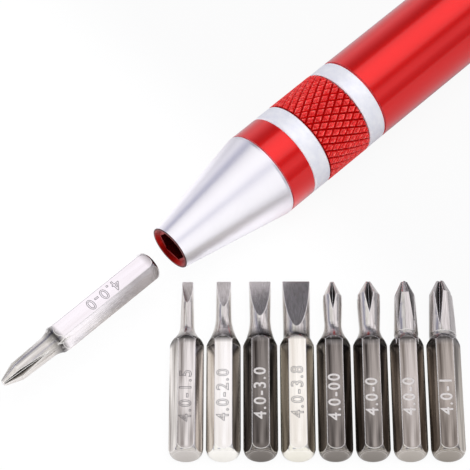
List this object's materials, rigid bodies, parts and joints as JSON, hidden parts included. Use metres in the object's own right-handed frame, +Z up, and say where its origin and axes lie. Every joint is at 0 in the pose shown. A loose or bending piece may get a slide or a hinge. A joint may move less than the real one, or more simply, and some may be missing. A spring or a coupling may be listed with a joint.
{
  "type": "pocket screwdriver",
  "caption": "Pen-shaped screwdriver with a magnetic hexagon socket, knurled grip, pocket clip and a bit magazine in its handle, laid out with its slotted and cross-point bits.",
  "frame": {"origin": "centre of the socket's mouth, on the handle's axis", "axes": "+X along the handle's axis from the mouth to the tail, +Z up, the handle lying on its knurl and clip"},
  "size_m": [0.1793, 0.0544, 0.013],
  "materials": {
    "red_anodised": "red anodised, satin",
    "deep_red_anodised": "red anodised, dark",
    "bright_aluminium": "bright turned",
    "satin_aluminium": "fine turned, satin",
    "magnet": "nickel plated",
    "clip_steel": "polished plating",
    "magazine_plastic": "moulded, fine grain",
    "seal_rubber": "moulded",
    "plated_steel": "nickel plated"
  },
  "bodies": {
    "handle": {"nose_cone": "bright_aluminium", "bit_socket": "deep_red_anodised", "socket_magnet": "magnet", "grip_core": "bright_aluminium", "front_band": "red_anodised", "front_ring": "satin_aluminium", "grip_sleeve": "red_anodised", "rear_ring": "satin_aluminium", "barrel": "red_anodised", "clip_collar": "bright_aluminium"},
    "clip": {"pocket_clip": "clip_steel"},
    "magazine": {"bit_magazine": "magazine_plastic"},
    "tail_cap": {"tail_cap": "bright_aluminium", "tail_seal": "seal_rubber"},
    "loose_bit": {"loose_cross_bit": "plated_steel"},
    "slot_bit_1": {"slot_bit_1": "plated_steel"},
    "slot_bit_2": {"slot_bit_2": "plated_steel"},
    "slot_bit_3": {"slot_bit_3": "plated_steel"},
    "slot_bit_4": {"slot_bit_4": "plated_steel"},
    "cross_bit_1": {"cross_bit_1": "plated_steel"},
    "cross_bit_2": {"cross_bit_2": "plated_steel"},
    "cross_bit_3": {"cross_bit_3": "plated_steel"},
    "cross_bit_4": {"cross_bit_4": "plated_steel"}
  },
  "joints": [
    {"name": "bit_insert", "type": "slide", "parent": "handle", "child": "loose_bit", "axis": [1, 0, 0], "range_m": [0, 0.0154]},
    {"name": "magazine_draw", "type": "slide", "parent": "handle", "child": "magazine", "axis": [1, 0, 0], "range_m": [0, 0.1]},
    {"name": "cap_turn", "type": "hinge", "parent": "magazine", "child": "tail_cap", "pos_m": [0.1325, 0, 0], "axis": [1, 0, 0], "continuous": true},
    {"name": "clip_flex", "type": "hinge", "parent": "handle", "child": "clip", "pos_m": [0.1353, -0.00528, -0.00295], "axis": [0, -0.4873, 0.8733], "range_deg": [0, 3], "stiffness_Nm_per_rad": 1},
    {"name": "slot_bit_1_lift", "type": "slide", "parent": "handle", "child": "slot_bit_1", "axis": [0, 0, 1], "range_m": [0, 0.06]},
    {"name": "slot_bit_2_lift", "type": "slide", "parent": "handle", "child": "slot_bit_2", "axis": [0, 0, 1], "range_m": [0, 0.06]},
    {"name": "slot_bit_3_lift", "type": "slide", "parent": "handle", "child": "slot_bit_3", "axis": [0, 0, 1], "range_m": [0, 0.06]},
    {"name": "slot_bit_4_lift", "type": "slide", "parent": "handle", "child": "slot_bit_4", "axis": [0, 0, 1], "range_m": [0, 0.06]},
    {"name": "cross_bit_1_lift", "type": "slide", "parent": "handle", "child": "cross_bit_1", "axis": [0, 0, 1], "range_m": [0, 0.06]},
    {"name": "cross_bit_2_lift", "type": "slide", "parent": "handle", "child": "cross_bit_2", "axis": [0, 0, 1], "range_m": [0, 0.06]},
    {"name": "cross_bit_3_lift", "type": "slide", "parent": "handle", "child": "cross_bit_3", "axis": [0, 0, 1], "range_m": [0, 0.06]},
    {"name": "cross_bit_4_lift", "type": "slide", "parent": "handle", "child": "cross_bit_4", "axis": [0, 0, 1], "range_m": [0, 0.06]}
  ]
}
